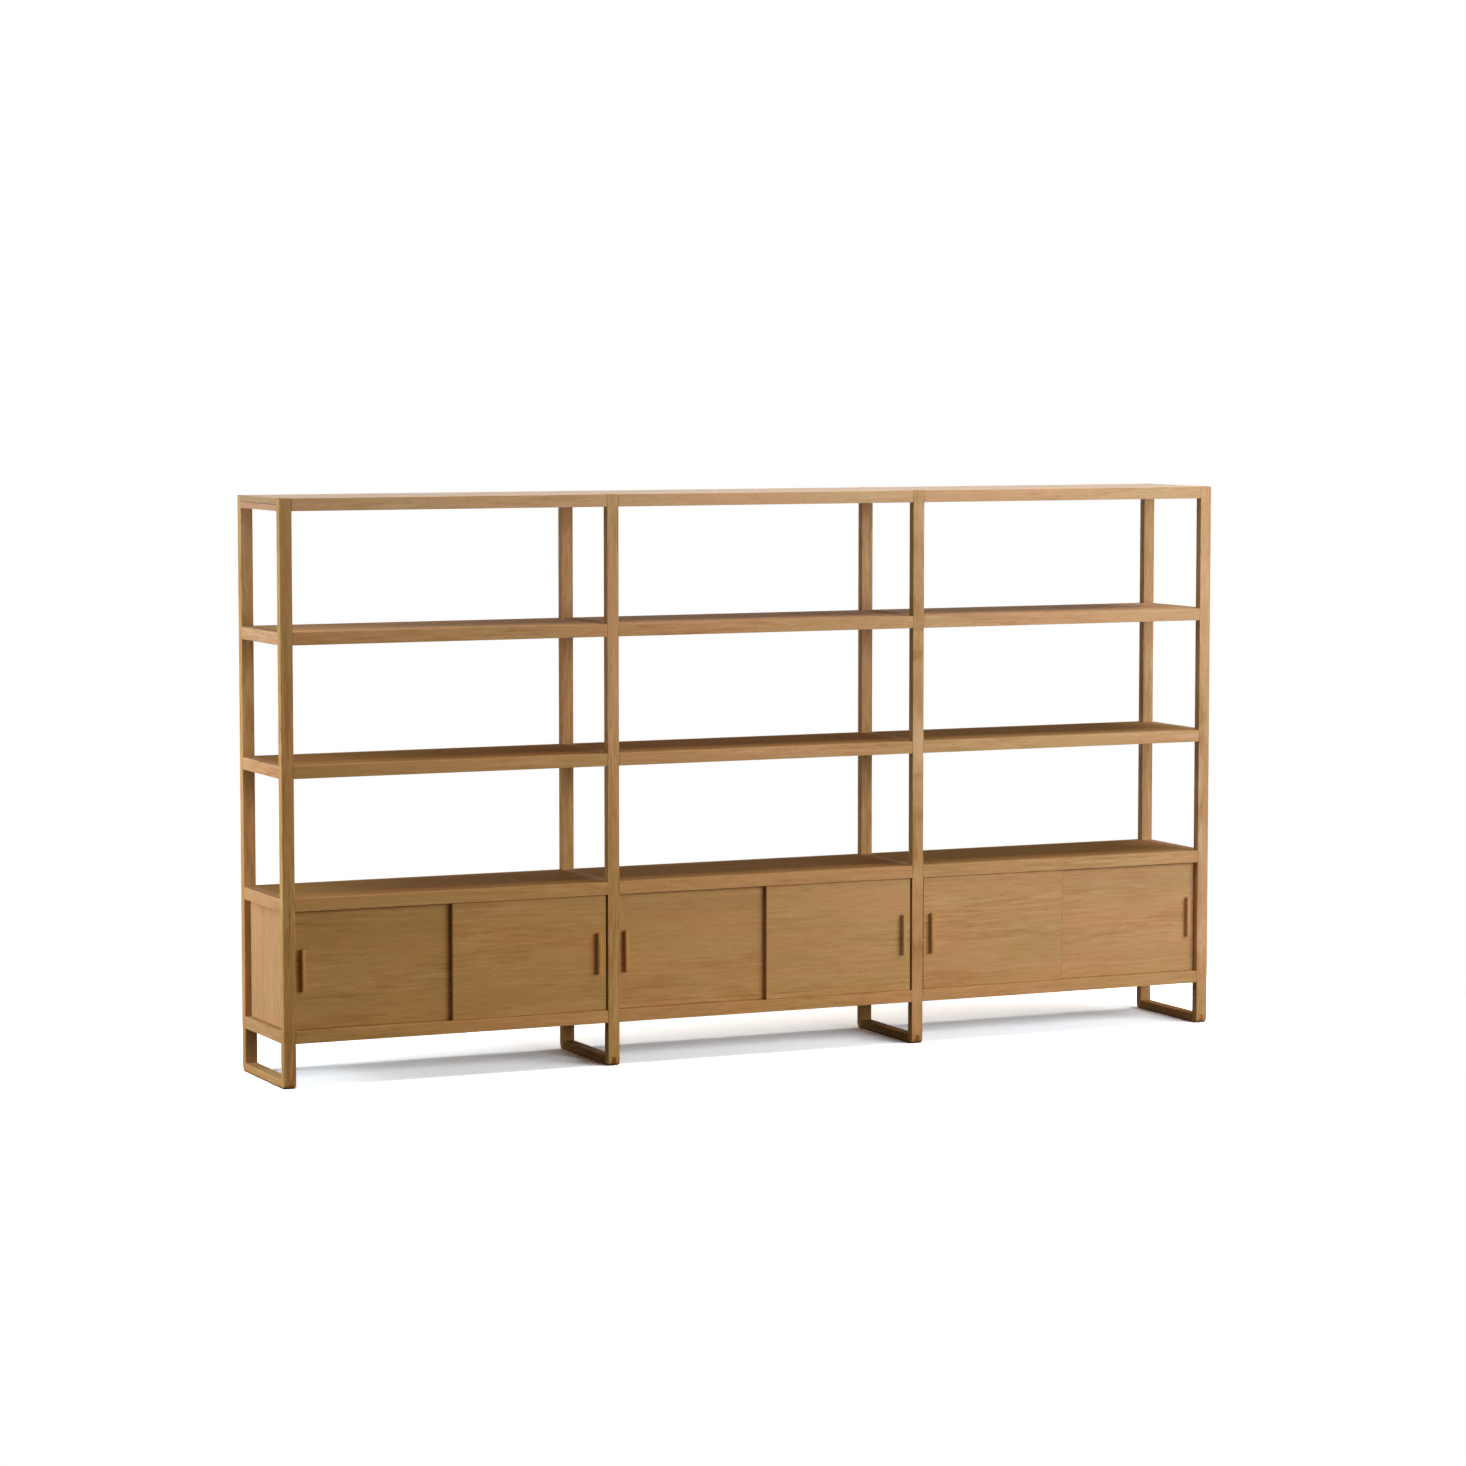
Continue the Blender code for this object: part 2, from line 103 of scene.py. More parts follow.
# The boards' panels: their tint against their rails, which is painted shade on the cabinet top and the lower
# shelf, whose tops lie in the shade of the boards above, painted light on the upper shelf, and darker on the
# unit top against its sheen; and the board's finish
PANEL_SHADES_AND_FINISHES = {
    "cabinet_top": ((0.82, 0.73, 0.55), Finish()),
    "lower_shelf": ((0.84, 0.76, 0.59), Finish()),
    "upper_shelf": ((1.36, 1.29, 1.19), Finish(0.1, dust=0.06)),
    "unit_top": ((0.74, 0.755, 0.80), Finish(0.6, tint=(1.0, 0.95, 0.9, 1.0), dust=0.33)),
}
# Painted light and shade: the frames' side rails and panels are pinker and bluer, standing in for cool light
# from the left, and three of the foot rails darker, standing in for the shade under the cabinet
SIDE_LIGHT_TINT = (1.0, 1.0, 1.28)
# painted shade: foot rails under the cabinet, darkest where least light reaches
FOOT_SHADES = {
    "frame_2_foot_rail": (0.70, 0.62, 0.52),
    "frame_3_foot_rail": (0.80, 0.72, 0.60),
    "frame_4_foot_rail": (0.97, 0.87, 0.70),
}

# Grain, in tone from 0 for dark oak to 1 for pale
MEAN_TONE = 0.3
TONE_SPREAD = 0.05
CAST_SPREAD = 0.1
FIBRE_TONE = 0.4
WIDE_CONTRAST, NARROW_CONTRAST = 1.0, 1.8
QUIET_GRAIN, LIVELY_GRAIN = 0.35, 1.45
DASH_TONE = -0.24
# Layers: features in a metre along and across the grain, detail, and strength
GRAIN_LAYERS = (
    ((1.6, 24.0), 2.0, 0.40),
    ((7.0, 90.0), 3.0, 0.80),
    ((4.0, 330.0), 2.0, 0.45),
)
PATCH_LAYERS = (
    ((2.4, 13.0, 13.0), 2.0, 0.35),
    ((20.0, 120.0, 120.0), 2.0, 0.35),
)

# Patterns: features in a metre along the grain, across it and deep
PITH_DRIFT = (0.8, 0.0, 0.0)
WAVES = (3.0, 16.0, 16.0)
LIVELY_PATCHES = (1.8, 11.0, 11.0)
DASHES = (14.0, 200.0, 0.0)
FLECK_PATCHES = (4.0, 9.0, 9.0)
FLECK_CURLS = (75.0, 130.0, 130.0)
FIBRES = (14.0, 240.0, 240.0)
PORES = (110.0, 1500.0, 1500.0)
HUE_PATCHES = (2.2, 9.0, 9.0)
WEAR_PATCHES = (25.0, 60.0, 60.0)
# Levels of those patterns, out of 1, from which and up to which the wood changes
LIVELY_LEVELS = (0.36, 0.64)
DASH_LEVELS = (0.58, 0.76)
FLECK_LEVELS = (0.6, 0.7)
CURL_WIDTH = 0.03
PORE_LEVELS = (0.6, 0.7)
HUE_LEVELS = (0.3, 0.7)
WEAR_LEVELS = (0.35, 0.6)

# How squarely a face looks along an axis, out of 1, from which and up to which the wood changes
END_FACING = (0.45, 0.9)
GLUED_FACING = (0.5, 0.9)
LINED_FACING = (0.8, 0.9)

# The tree that a piece was cut from
DRIFT_REACH = 0.03  # how far the pith wanders along the piece
WAVE_HEIGHT = 0.015
WIDE_PITH = (0.35, 0.6)  # a wide piece is cut along the radius, so the pith is beyond its edge
WIDE_PITH_TILT = 0.15
NARROW_PITH = (0.08, 0.2)
KNOT_CELLS = 2.2  # in a metre
KNOT_CORE, KNOT_RADIUS = 0.0009, 0.003
KNOT_BEND = 0.03
BEND_HEIGHT = 0.004
# pale edges: partly wear, partly a painted highlight along the arrises
EDGE_WEAR_AND_HIGHLIGHT = (0.0025 / 3, 0.0025)  # from the edge: where it starts to fade, and where it ends

# Shading across rounded edges
WELD_DISTANCE = 1e-5
SHARP_ANGLE = math.radians(50)

# Camera, fitted to the photograph's edges
CAMERA_PLACE = (-5.82172, -12.52823, 2.17865)
CAMERA_PITCH = math.pi / 2 - 0.08372
CAMERA_TURN = -0.43274
LENS_MM = 105.57
SENSOR_MM = 36
FAR_CLIP = 100

# Studio
AMBIENT = 0.04
AMBIENT_TINT = (1.0, 0.8, 0.5)
FLOOR_RADIUS, FLOOR_SIDES = 9.0, 64
FLOOR_DROP = 0.0002
FLOOR_SEEN = (2.25, 2.29, 2.35)  # so bright to the camera that only the shadow shows on the white
FLOOR_BOUNCE = 0.22
FLOOR_LEAN = (0.0, -0.1, 1.0)
FADE_START, FADE_END = 0.5, 1.2  # from the object's footprint
COOL = (0.93, 0.96, 1.0)
BLUISH = (0.72, 0.86, 1.0)
WARM = (1.0, 0.94, 0.84)
YELLOWISH = (1.0, 0.87, 0.55)
# Lamps: name, place, target, width, height, power in watts, and colour
LAMPS = (
    ("key", (3.2, -4.2, 1.75), (0.3, 0, 0.9), 3.2, 2.6, 163, COOL),
    ("front", (1.5, -5.0, 1.8), (0.5, 0, 0.9), 3.6, 2.6, 92, COOL),
    ("overhead", (0, -0.5, 5.0), (0, 0, 0.9), 4.0, 2.5, 118, WARM),
    ("right_high", (2.5, -0.5, 4.5), (0.5, 0, 0.9), 2.0, 2.0, 68, WHITE),
    ("left_near", (-2.7, 0.0, 1.1), (-1.6, 0, 1.0), 0.6, 1.2, 7.0, BLUISH),
    ("left_top", (-3.0, 0.2, 2.4), (-1.6, 0, 1.0), 1.0, 1.0, 22, BLUISH),
    ("left_low", (-3.0, 0.2, 0.5), (-1.6, 0, 0.5), 0.8, 0.8, 17, BLUISH),
    ("left_far", (-7.0, 0.5, 1.5), (-1, 0, 0.9), 2.0, 2.0, 56, YELLOWISH),
    ("back", (0, 5.0, 0.7), (0, 0, 0.9), 5.0, 1.0, 70, WHITE),
)


class Graph:
    """Adds nodes to a node tree. A value is a number, a tuple, or the output of another node."""

    def __init__(self, tree):
        self.tree = tree

    def feed(self, socket, value):
        if isinstance(value, bpy.types.NodeSocket):
            self.tree.links.new(value, socket)
        else:
            socket.default_value = value

    def node(self, kind, values=(), **settings):
        made = self.tree.nodes.new(kind)
        for setting, value in settings.items():
            setattr(made, setting, value)
        for key, value in dict(values).items():
            self.feed(made.inputs[key], value)
        return made

    def math(self, operation, *values):
        return self.node("ShaderNodeMath", enumerate(values), operation=operation).outputs[0]

    def vector(self, operation, *values):
        made = self.node("ShaderNodeVectorMath", enumerate(values), operation=operation)
        return made.outputs["Value" if operation == "LENGTH" else "Vector"]

    def scaled(self, vector, factor):
        made = self.node("ShaderNodeVectorMath", {0: vector, "Scale": factor}, operation="SCALE")
        return made.outputs["Vector"]

    def split(self, vector):
        return self.node("ShaderNodeSeparateXYZ", {0: vector}).outputs

    def join(self, x, y, z):
        return self.node("ShaderNodeCombineXYZ", {0: x, 1: y, 2: z}).outputs[0]

    def noise(self, place, per_metre, detail=2.0, output="Fac"):
        """Noise from 0 to 1 with so many features in a metre along each axis."""
        place = self.vector("MULTIPLY", place, per_metre)
        made = self.node("ShaderNodeTexNoise", {"Vector": place, "Scale": 1.0, "Detail": detail})
        return made.outputs[output]

    def step(self, value, low, high, start=0.0, end=1.0):
        """Goes smoothly from start to end as the value goes from low to high."""
        values = {"Value": value, "From Min": low, "From Max": high, "To Min": start, "To Max": end}
        return self.node("ShaderNodeMapRange", values, interpolation_type="SMOOTHSTEP").outputs[0]

    def mix_vector(self, factor, first, second):
        made = self.node("ShaderNodeMix", {0: factor, 4: first, 5: second}, data_type="VECTOR")
        return made.outputs[1]

    def mix_colour(self, factor, first, second):
        values = {0: factor, 6: (*first, 1), 7: (*second, 1)}
        return self.node("ShaderNodeMix", values, data_type="RGBA").outputs[2]

    def cast(self, colour, factor, first, second):
        """The colour times a mix of two others."""
        return self.vector("MULTIPLY", colour, self.mix_colour(factor, first, second))

    def ramp(self, value, stops):
        made = self.node("ShaderNodeValToRGB", {0: value})
        elements = made.color_ramp.elements
        while len(elements) < len(stops):
            elements.new(0.5)
        for element, (position, colour) in zip(elements, stops):
            element.position = position
            element.color = (*colour, 1)
        return made.outputs[0]


def new_group(name, kind, inputs, outputs):
    """A node group, its graph and its input sockets by name."""
    tree = bpy.data.node_groups.new(name, kind)
    for direction, sockets in (("INPUT", inputs), ("OUTPUT", outputs)):
        for socket, socket_kind in sockets.items():
            tree.interface.new_socket(socket, in_out=direction, socket_type=socket_kind)
    graph = Graph(tree)
    return tree, graph, graph.node("NodeGroupInput").outputs


def ring_distance(graph, wood):
    """The distance from the pith, which wanders along the piece, with small waves in the grain."""
    wander = graph.noise(wood, PITH_DRIFT, 1.0, "Color")
    offset = graph.vector("MULTIPLY_ADD", wander, (0, DRIFT_REACH, DRIFT_REACH), wood)
    offset = graph.vector("MULTIPLY", offset, (0, 1, 1))
    waves = graph.noise(wood, WAVES, 2.0)
    return graph.math("MULTIPLY_ADD", waves, WAVE_HEIGHT, graph.vector("LENGTH", offset))


def pin_knots(graph, wood):
    """How near a small knot is: 1 in its middle and 0 beyond its rim, and the same for the grain round it."""
    place = graph.vector("MULTIPLY", wood, (KNOT_CELLS, KNOT_CELLS, 0))
    cells = graph.node("ShaderNodeTexVoronoi", {"Vector": place, "Scale": 1.0}, voronoi_dimensions="2D")
    away = graph.math("DIVIDE", cells.outputs["Distance"], KNOT_CELLS)
    knot = graph.step(away, KNOT_CORE, KNOT_RADIUS, 1.0, 0.0)
    bend = graph.step(away, 0.0, KNOT_BEND, 1.0, 0.0)
    return knot, bend


def figure(graph, wood, distance):
    """The tone of the grain, about 0 in the mean: broad bands, streaks, fine lines, dashes and patches."""
    along = graph.split(wood)[0]
    place = graph.join(along, distance, 0.0)
    lively = graph.noise(wood, LIVELY_PATCHES, 1.0)
    lively = graph.step(lively, *LIVELY_LEVELS, QUIET_GRAIN, LIVELY_GRAIN)
    grain = None
    for per_metre, detail, strength in GRAIN_LAYERS:
        layer = graph.math("SUBTRACT", graph.noise(place, (*per_metre, 0.0), detail), 0.5)
        layer = graph.math("MULTIPLY", layer, strength)
        grain = layer if grain is None else graph.math("ADD", grain, layer)
    dashes = graph.step(graph.noise(place, DASHES, 1.0), *DASH_LEVELS, 0.0, DASH_TONE)
    grain = graph.math("MULTIPLY", graph.math("ADD", grain, dashes), lively)
    for per_metre, detail, strength in PATCH_LAYERS:
        layer = graph.math("SUBTRACT", graph.noise(wood, per_metre, detail), 0.5)
        grain = graph.math("MULTIPLY_ADD", layer, strength, grain)
    return grain


def ray_flecks(graph, wood):
    """Short pale curls across the grain, in a few patches only."""
    patch = graph.step(graph.noise(wood, FLECK_PATCHES, 1.0), *FLECK_LEVELS)
    curls = graph.noise(wood, FLECK_CURLS, 2.0)
    curls = graph.math("ABSOLUTE", graph.math("SUBTRACT", curls, 0.5))
    return graph.math("MULTIPLY", graph.step(curls, 0.0, CURL_WIDTH, 1.0, 0.0), patch)


def wood_marks(graph, given, knot):
    """How strongly fibres, pores, ray flecks, knots, the pale edges and the dark lines show. The pale edges
    are partly wear and partly a painted highlight where the arrises catch the light; the dark lines are
    joints, and on the doors painted shade.
    """
    wood = given["Wood"]
    wear = graph.step(given["Edge"], *EDGE_WEAR_AND_HIGHLIGHT, 1.0, 0.0)
    worn = graph.step(graph.noise(wood, WEAR_PATCHES), *WEAR_LEVELS)
    return Marks(
        fibre=graph.noise(wood, FIBRES, 2.0),
        pores=graph.step(graph.noise(wood, PORES, 1.0), *PORE_LEVELS),
        flecks=ray_flecks(graph, wood),
        knot=knot,
        wear=graph.math("MULTIPLY", wear, worn),
        seam=given["Seam"],
    )


def wood_colour(graph, given, distance, marks):
    """The colour of the wood, from the distance to the pith and the marks on it, with painted light and
    shade.
    """
    wood = given["Wood"]
    tone = graph.math("MULTIPLY_ADD", figure(graph, wood, distance), given["Contrast"], given["Tone"])
    tone = graph.math("MULTIPLY_ADD", marks.fibre, FIBRE_TONE, tone)
    colour = graph.ramp(tone, ((0.0, DARK_OAK), (0.5, PLAIN_OAK), (1.0, PALE_OAK)))
    hue = graph.math("ADD", graph.noise(wood, HUE_PATCHES, 1.0), given["Cast"])
    colour = graph.cast(colour, graph.step(hue, *HUE_LEVELS), GREEN_CAST, PINK_CAST)
    # painted light and shade: paler and bluer high and right, deeper and warmer low and left
    painted_light = graph.step(given["Height"], SHADED_HEIGHT, LIT_HEIGHT)
    colour = graph.cast(colour, painted_light, SHADED_CAST, LIT_CAST)
    shade = graph.math("MULTIPLY_ADD", marks.flecks, FLECK_GLOW, 1.0)
    # wear and painted highlight: paler edges
    shade = graph.math("MULTIPLY_ADD", marks.wear, WEAR_AND_HIGHLIGHT_GLOW, shade)
    for mark, value in ((marks.pores, PORE_SHADE), (marks.knot, KNOT_SHADE), (marks.seam, LINE_SHADE)):
        shade = graph.math("MULTIPLY", shade, graph.math("MULTIPLY_ADD", mark, value - 1, 1.0))
    # the tint: painted light and shade on the panels, side rails, foot rails and feet
    colour = graph.vector("MULTIPLY", graph.scaled(colour, shade), given["Tint"])
    end_facing = graph.split(graph.vector("ABSOLUTE", given["Facing"]))[0]
    end_grain = graph.math("MULTIPLY", graph.step(end_facing, *END_FACING), given["End"])
    return graph.cast(colour, end_grain, WHITE, END_CAST)


def wood_surface(graph, given, marks):
    """The roughness and the normal of the wood."""
    fibre = graph.math("SUBTRACT", marks.fibre, 0.5)
    roughness = graph.math("MULTIPLY_ADD", fibre, FIBRE_ROUGHNESS, given["Matt"])
    changes = (marks.pores, PORE_ROUGHNESS), (marks.flecks, FLECK_ROUGHNESS), (marks.wear, WEAR_ROUGHNESS)
    for mark, change in changes:
        roughness = graph.math("MULTIPLY_ADD", mark, change, roughness)
    height = marks.fibre
    for mark, depth in ((marks.pores, PORE_DEPTH), (marks.seam, LINE_DEPTH), (marks.knot, KNOT_DEPTH)):
        height = graph.math("MULTIPLY_ADD", mark, depth, height)
    values = {"Strength": BUMP_STRENGTH, "Distance": BUMP_DISTANCE, "Height": height}
    return roughness, graph.node("ShaderNodeBump", values).outputs[0]


# What a piece tells the oak group
OAK_VECTORS = ("Wood", "Facing", "Tint")
OAK_NUMBERS = ("Height", "Edge", "Tone", "Cast", "Knots", "Seam", "Matt", "Contrast", "End")


def make_oak_group():
    """The wood itself. Its place is (along the grain, across, deep) in metres, from a point on the pith."""
    inputs = dict.fromkeys(OAK_VECTORS, "NodeSocketVector") | dict.fromkeys(OAK_NUMBERS, "NodeSocketFloat")
    outputs = {"Color": "NodeSocketColor", "Roughness": "NodeSocketFloat", "Normal": "NodeSocketVector"}
    tree, graph, given = new_group("oak", "ShaderNodeTree", inputs, outputs)
    wood = given["Wood"]
    knot, bend = (graph.math("MULTIPLY", near, given["Knots"]) for near in pin_knots(graph, wood))
    distance = graph.math("MULTIPLY_ADD", bend, BEND_HEIGHT, ring_distance(graph, wood))
    marks = wood_marks(graph, given, knot)
    roughness, normal = wood_surface(graph, given, marks)
    colour = wood_colour(graph, given, distance, marks)
    graph.node("NodeGroupOutput", {"Color": colour, "Roughness": roughness, "Normal": normal})
    return tree


def turned(vector, way):
    """The vector's parts in the order (along the grain, across, deep). The way names the first two axes."""
    along, across = (AXES[axis] for axis in way)
    return vector[along], vector[across], vector[3 - along - across]


def wood_shift(draw, way, middle, wide):
    """Moves a strip's wood: along the grain to wood of its own, and otherwise so that the pith is at zero."""
    if wide:
        across = draw.choice((-1, 1)) * draw.uniform(*WIDE_PITH)
        deep = draw.uniform(-WIDE_PITH_TILT, WIDE_PITH_TILT)
    else:
        turn, reach = draw.uniform(0, 2 * math.pi), draw.uniform(*NARROW_PITH)
        across, deep = reach * math.cos(turn), reach * math.sin(turn)
    centre = turned(middle, way)
    return draw.uniform(-FAR_AWAY, FAR_AWAY), across - centre[1], deep - centre[2]


def edge_distance(graph, place, low, high):
    """How far a point on a box is from the box's nearest edge: the middle one of its three distances."""
    inside = graph.vector("SUBTRACT", place, tuple((low + high) / 2))
    inside = graph.vector("SUBTRACT", tuple((high - low) / 2), graph.vector("ABSOLUTE", inside))
    x, y, z = graph.split(inside)
    most = graph.math("MAXIMUM", x, y)
    return graph.math("MAXIMUM", graph.math("MINIMUM", x, y), graph.math("MINIMUM", most, z))


def add_line(graph, seam, across, place, width, seen):
    """Adds a line of some width, where a face shows it, to the lines so far."""
    away = graph.math("ABSOLUTE", graph.math("SUBTRACT", across, place))
    line = graph.step(away, width / 2, width, 1.0, 0.0)
    return graph.math("MAXIMUM", seam, graph.math("MULTIPLY", line, seen))


def strips(graph, draw, source, cut, middle):
    """The wood, facing and tint of a piece that is cut at seams into strips, and its dark lines: joints, and
    on the doors painted shade.
    """
    place = graph.split(source["Object"])
    normal = graph.split(source["Normal"])
    wood = facing = None
    tint, seam = cut.tints[0], 0.0
    for strip, way in enumerate(cut.ways):
        shift = wood_shift(draw, way, middle, cut.wide)
        strip_wood = graph.vector("ADD", graph.join(*turned(place, way)), shift)
        strip_facing = graph.join(*turned(normal, way))
        if strip == 0:
            wood, facing = strip_wood, strip_facing
            continue
        across, glued = place[AXES[cut.seam_axis]], cut.seams[strip - 1]
        passed = graph.math("GREATER_THAN", across, glued)
        wood = graph.mix_vector(passed, wood, strip_wood)
        facing = graph.mix_vector(passed, facing, strip_facing)
        tint = graph.mix_vector(passed, tint, cut.tints[strip])
        crossing = graph.math("ABSOLUTE", normal[AXES[cut.seam_axis]])
        crossing = graph.step(crossing, *GLUED_FACING, 1.0, 0.0)
        seam = add_line(graph, seam, across, glued, GLUE_LINE, crossing)
    for line in cut.lines:
        seen = graph.step(graph.math("ABSOLUTE", normal[AXES[line.facing]]), *LINED_FACING)
        seam = add_line(graph, seam, place[AXES[line.axis]], line.place, line.width, seen)
    return wood, facing, tint, seam


def new_material(name):
    """A material without nodes, and its graph."""
    material = bpy.data.materials.new(name)
    material.use_nodes = True
    material.node_tree.nodes.clear()
    return material, Graph(material.node_tree)


def oak_inputs(graph, node, cut):
    """What the oak group needs to know of a piece."""
    draw = random.Random(node)
    low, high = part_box(node)
    source = graph.node("ShaderNodeTexCoord").outputs
    place = graph.split(source["Object"])
    tone = MEAN_TONE + draw.uniform(-TONE_SPREAD, TONE_SPREAD)
    wood, facing, tint, seam = strips(graph, draw, source, cut, (low + high) / 2)
    # painted shade at the bottom of the feet
    if low.z < SOLE_SHADE_HEIGHT:
        tint = graph.mix_vector(graph.step(place[2], 0.0, SOLE_SHADE_HEIGHT), SOLE_SHADE, tint)
    return {
        "Wood": wood,
        "Facing": facing,
        # the slanted height that places the painted light and shade
        "Height": graph.math("MULTIPLY_ADD", place[0], LIGHT_SLANT, place[2]),
        "Edge": edge_distance(graph, source["Object"], low, high),
        "Tone": tone,
        "Tint": tint,
        "Cast": draw.uniform(-CAST_SPREAD, CAST_SPREAD),
        "Knots": float(cut.wide),
        "Seam": seam,
        "Matt": cut.finish.roughness,
        "Contrast": WIDE_CONTRAST if cut.wide else NARROW_CONTRAST,
        "End": WIDE_END if cut.wide else NARROW_END,
    }


def oak_material(node, cut, group):
    """Oak for one piece."""
    material, graph = new_material(f"oak_{node}")
    oak = graph.node("ShaderNodeGroup", oak_inputs(graph, node, cut), node_tree=group).outputs
    values = {
        "Base Color": oak["Color"],
        "Roughness": oak["Roughness"],
        "Normal": oak["Normal"],
        "Specular IOR Level": cut.finish.gloss,
        "Specular Tint": cut.finish.tint,
        "Sheen Weight": cut.finish.dust,
        "Sheen Roughness": DUST_ROUGHNESS,
    }
    shader = graph.node("ShaderNodeBsdfPrincipled", values)
    graph.node("ShaderNodeOutputMaterial", {"Surface": shader.outputs[0]})
    return material


# How a piece is cut from its wood: the axes along and across the grain of each strip, whether the piece is
# wide, the axis across the seams and their places on it, the strips' tints, the finish, and drawn lines
PLAIN_CUT = ("X", (), (WHITE,), Finish(), ())
Cut = namedtuple("Cut", "ways wide seam_axis seams tints finish lines", defaults=PLAIN_CUT)


def cut_of(node):
    """How a node is cut from its wood, by its name."""
    low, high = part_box(node)
    # painted light: the side rails and cabinet sides get a cool tint
    if node.endswith("_unit_top_side_rail"):
        return Cut(("YZ",), False, tints=(SIDE_LIGHT_TINT,), lines=(Line("Z", high.z, OPEN_JOINT, "X"),))
    if node.endswith("_foot_rail"):
        # painted shade on three of the foot rails
        tint = FOOT_SHADES.get(node, WHITE)
        return Cut(("YZ",), False, tints=(tint,), lines=(Line("Z", high.z, OPEN_JOINT, "Y"),))
    if node.endswith("_side_rail"):
        return Cut(("YZ",), False, tints=(SIDE_LIGHT_TINT,))
    if node.endswith("_post") or node.endswith("_handle"):
        return Cut(("ZX",), False)
    if node.endswith("_cabinet_side"):
        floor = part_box("bay_1_cabinet_floor")[1].z
        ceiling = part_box("bay_1_cabinet_top")[0].z
        return Cut(("YZ", "ZY", "YZ"), True, "Z", (floor, ceiling), (SIDE_LIGHT_TINT,) * 3)
    if node.endswith("_door"):
        # painted shade: a dark line just inside each upright edge, where the gap between the doors is shaded
        places = low.x + DOOR_EDGE_SHADE_INSET, high.x - DOOR_EDGE_SHADE_INSET
        lines = tuple(Line("X", place, DOOR_EDGE_SHADE_WIDTH, "Y") for place in places)
        return Cut(("XZ",), True, lines=lines)
    if node.endswith("_back"):
        return Cut(("XZ",), True)
    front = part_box("frame_1_front_post")[1].y
    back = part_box("frame_1_back_post")[0].y
    # painted light and shade: the panel's tint
    tint, finish = PANEL_SHADES_AND_FINISHES.get(node.split("_", 2)[2], (WHITE, Finish()))
    lines = ()
    if node.endswith("_unit_top"):
        lines = (Line("Z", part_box("frame_1_unit_top_side_rail")[1].z, OPEN_JOINT, "X"),)
    return Cut(("XZ", "XY", "XZ"), True, "Y", (front, back), (WHITE, tint, WHITE), finish, lines)


def make_rounding_tree():
    """Joins the facets that meet and shades across all but the sharp edges."""
    shape = {"Geometry": "NodeSocketGeometry"}
    tree, graph, given = new_group("smooth_rounded_edges", "GeometryNodeTree", shape, shape)
    made = graph.node("GeometryNodeRemoveAttribute", {"Geometry": given[0], "Name": "custom_normal"})
    made = graph.node("GeometryNodeMergeByDistance", {"Geometry": made.outputs[0], "Distance": WELD_DISTANCE})
    made = graph.node("GeometryNodeSetShadeSmooth", {"Geometry": made.outputs[0]}, domain="FACE")
    angle = graph.node("GeometryNodeInputMeshEdgeAngle").outputs["Unsigned Angle"]
    soft = graph.math("LESS_THAN", angle, SHARP_ANGLE)
    edges = {"Geometry": made.outputs[0], "Shade Smooth": soft}
    made = graph.node("GeometryNodeSetShadeSmooth", edges, domain="EDGE")
    graph.node("NodeGroupOutput", {"Geometry": made.outputs[0]})
    return tree


def finish_wood(nodes):
    """Gives every node its oak and its shading."""
    group, rounding = make_oak_group(), make_rounding_tree()
    for name in sorted(nodes):
        piece = nodes[name]
        piece.data.materials.clear()
        piece.data.materials.append(oak_material(name, cut_of(name), group))
        smooth = piece.modifiers.new("rounding", "NODES")
        smooth.node_group = rounding
        weighted = piece.modifiers.new("flat_faces", "WEIGHTED_NORMAL")
        weighted.keep_sharp = True


def make_world():
    """White where it is seen, and a low even light otherwise."""
    world = bpy.data.worlds.new("studio")
    bpy.context.scene.world = world
    world.use_nodes = True
    world.node_tree.nodes.clear()
    graph = Graph(world.node_tree)
    path = graph.node("ShaderNodeLightPath").outputs
    seen = graph.math("MAXIMUM", path["Is Camera Ray"], path["Is Transmission Ray"])
    seen = graph.math("MAXIMUM", seen, path["Is Glossy Ray"])
    strength = graph.math("MULTIPLY_ADD", seen, 1 - AMBIENT, AMBIENT)
    colour = graph.mix_colour(seen, AMBIENT_TINT, WHITE)
    background = graph.node("ShaderNodeBackground", {"Color": colour, "Strength": strength})
    graph.node("ShaderNodeOutputWorld", {"Surface": background.outputs[0]})


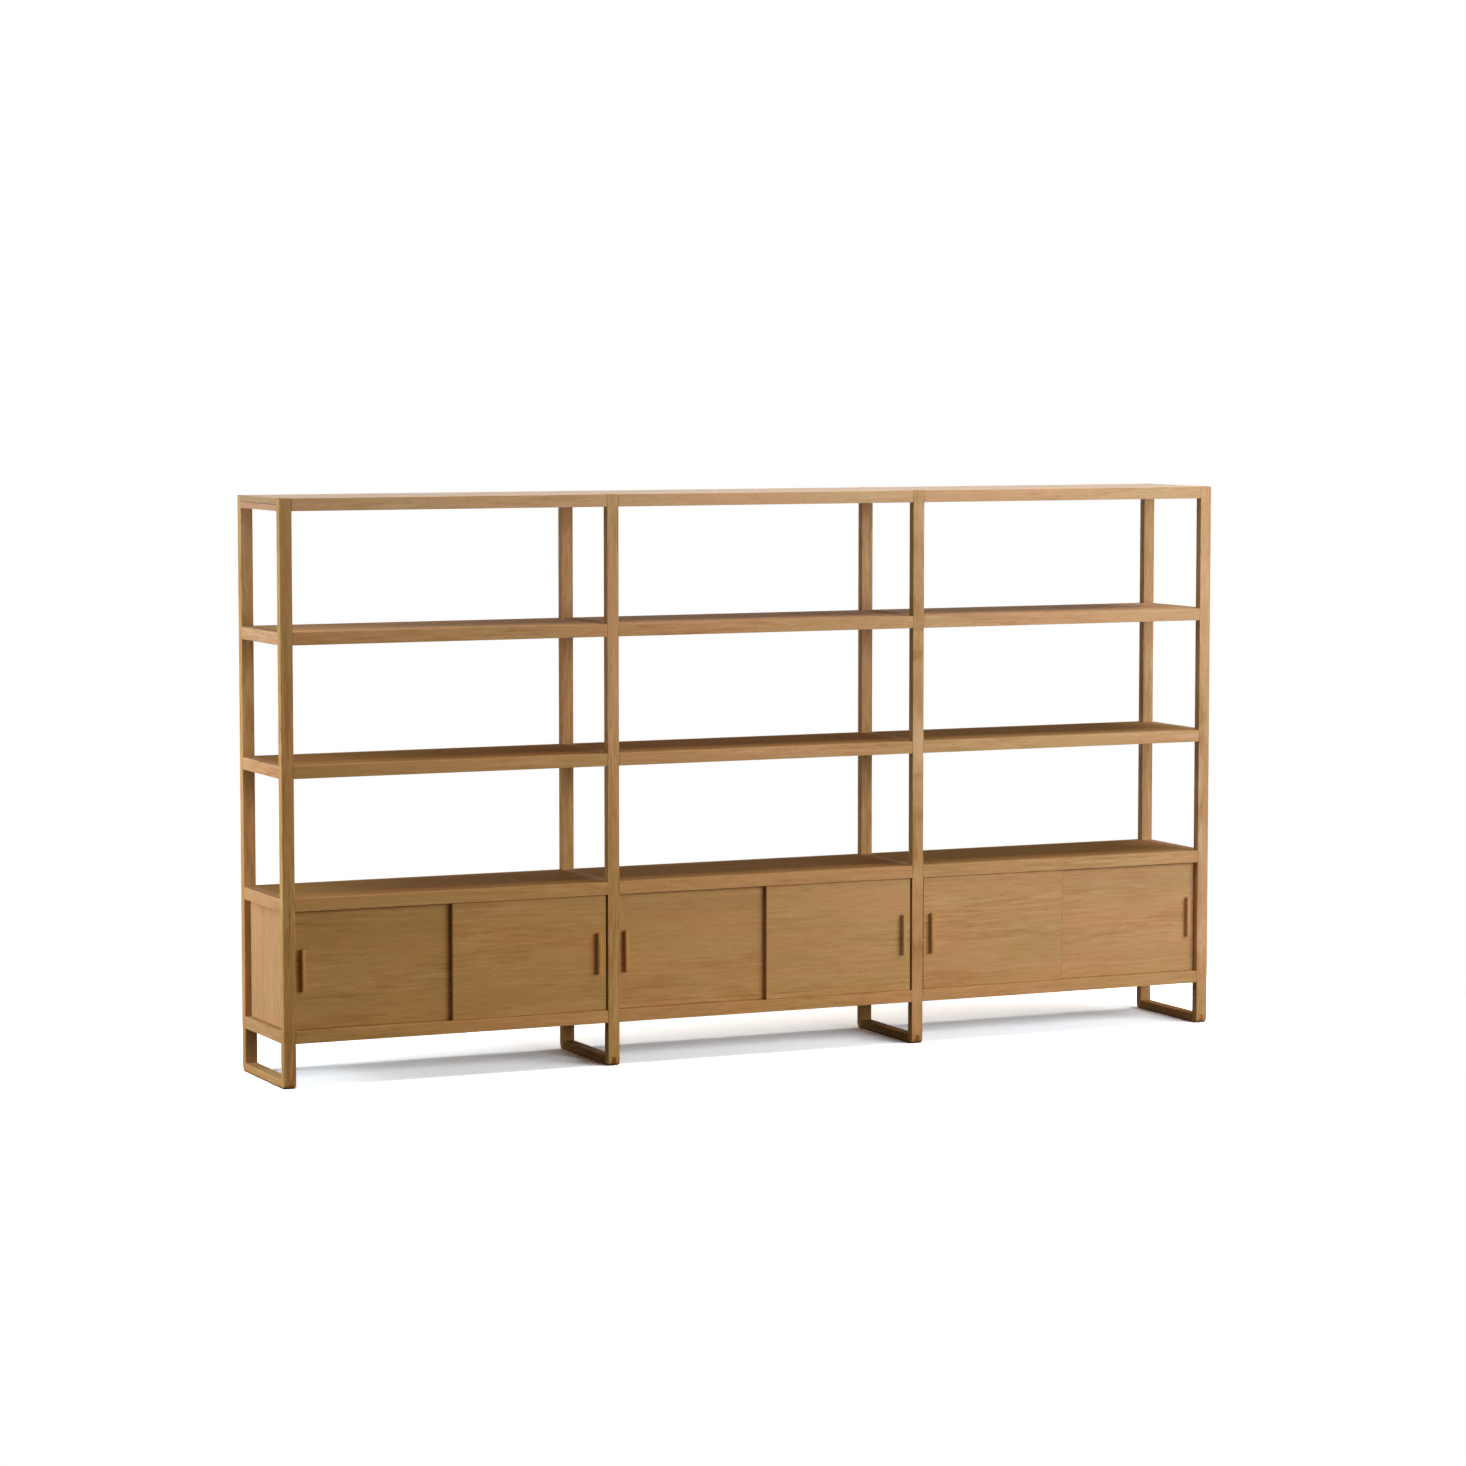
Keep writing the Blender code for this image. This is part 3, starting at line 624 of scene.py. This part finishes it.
def floor_material():
    """Pale, seen white where no shadow falls, and fading into the background."""
    material, graph = new_material("studio_floor")
    camera_ray = graph.node("ShaderNodeLightPath").outputs["Is Camera Ray"]
    colour = graph.mix_vector(camera_ray, (FLOOR_BOUNCE, FLOOR_BOUNCE, FLOOR_BOUNCE), FLOOR_SEEN)
    lean = graph.vector("NORMALIZE", FLOOR_LEAN)
    lit = graph.node("ShaderNodeBsdfDiffuse", {"Color": colour, "Normal": lean})
    clear = graph.node("ShaderNodeBsdfTransparent")
    place = graph.vector("ABSOLUTE", graph.node("ShaderNodeTexCoord").outputs["Object"])
    outside = graph.vector("SUBTRACT", place, (cad_box[1][0], cad_box[1][1], 0))
    away = graph.vector("LENGTH", graph.vector("MAXIMUM", outside, (0, 0, 0)))
    fade = graph.step(away, FADE_START, FADE_END)
    mixed = graph.node("ShaderNodeMixShader", {0: fade, 1: lit.outputs[0], 2: clear.outputs[0]})
    graph.node("ShaderNodeOutputMaterial", {"Surface": mixed.outputs[0]})
    return material


def make_floor():
    """A wide disc just below the feet."""
    bpy.ops.mesh.primitive_circle_add(
        vertices=FLOOR_SIDES, radius=FLOOR_RADIUS, fill_type="NGON", location=(0, 0, -FLOOR_DROP)
    )
    floor = bpy.context.object
    floor.name = "studio_floor"
    floor.data.materials.append(floor_material())


def make_softbox(name, place, target, width, height, power, colour):
    """A soft rectangular lamp at a place, which faces the target."""
    data = bpy.data.lights.new(name, "AREA")
    data.shape = "RECTANGLE"
    data.size, data.size_y = width, height
    data.energy = power
    data.color = colour
    lamp = bpy.data.objects.new(name, data)
    lamp.location = place
    facing = Vector(target) - Vector(place)
    lamp.rotation_mode = "QUATERNION"
    lamp.rotation_quaternion = facing.to_track_quat("-Z", "Y")
    bpy.context.scene.collection.objects.link(lamp)


def make_camera():
    """The photograph's view."""
    data = bpy.data.cameras.new("camera")
    data.lens = LENS_MM
    data.sensor_width = SENSOR_MM
    data.clip_end = FAR_CLIP
    camera = bpy.data.objects.new("camera", data)
    camera.location = CAMERA_PLACE
    camera.rotation_euler = (CAMERA_PITCH, 0, CAMERA_TURN)
    bpy.context.scene.collection.objects.link(camera)
    bpy.context.scene.camera = camera


finish_wood(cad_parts)
make_world()
make_floor()
for lamp in LAMPS:
    make_softbox(*lamp)
make_camera()
bpy.context.scene.view_settings.view_transform = "Standard"
